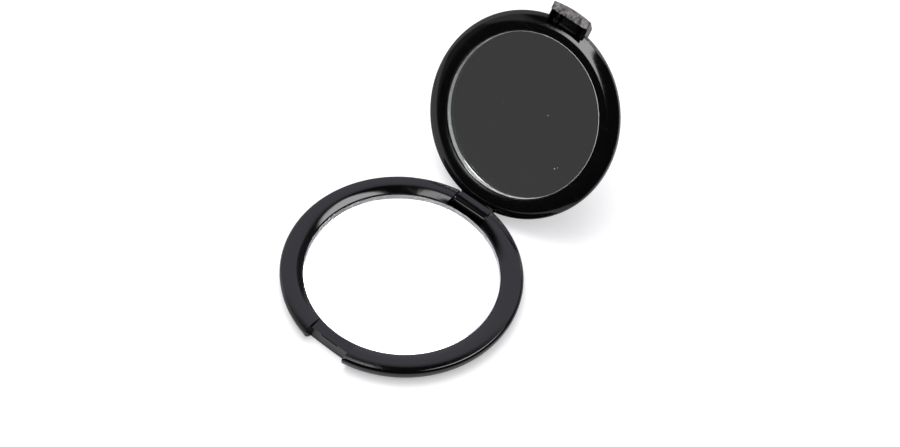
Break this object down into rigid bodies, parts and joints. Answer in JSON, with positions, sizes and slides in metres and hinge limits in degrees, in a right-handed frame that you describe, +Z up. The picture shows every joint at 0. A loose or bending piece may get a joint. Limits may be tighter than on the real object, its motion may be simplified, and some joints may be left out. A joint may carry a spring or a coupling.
{
  "type": "folding pocket mirror",
  "caption": "Round folding compact with a mirror in the base, a second mirror in the smaller hinged lid and a lipped tab that snaps into a front notch.",
  "frame": {"origin": "centre of the base's flat foot, on the surface it rests on", "axes": "+Z up, X along the hinge pin, +Y towards the hinge, -Y towards the notch and the tab"},
  "size_m": [0.07, 0.1077, 0.0576],
  "materials": {
    "base_frame": "glossy black moulded plastic",
    "base_cover": "glossy black moulded plastic",
    "base_mirror": "silvered glass with ground edge",
    "base_mirror_pad": "black adhesive foam",
    "hinge_pin": "drawn steel wire",
    "lid_frame": "glossy black moulded plastic, scuffed on the tab",
    "lid_cover": "glossy black moulded plastic",
    "lid_mirror": "silvered glass with ground edge",
    "lid_mirror_pad": "black adhesive foam"
  },
  "bodies": {
    "base": {"base_frame": "base_frame", "base_cover": "base_cover", "base_mirror": "base_mirror", "base_mirror_pad": "base_mirror_pad", "hinge_pin": "hinge_pin"},
    "lid": {"lid_frame": "lid_frame", "lid_cover": "lid_cover", "lid_mirror": "lid_mirror", "lid_mirror_pad": "lid_mirror_pad"}
  },
  "joints": [
    {"name": "lid_hinge", "type": "hinge", "parent": "base", "child": "lid", "pos_m": [0, 0.03206, 0.00354], "axis": [1, 0, 0], "range_deg": [0, 125.35]}
  ]
}
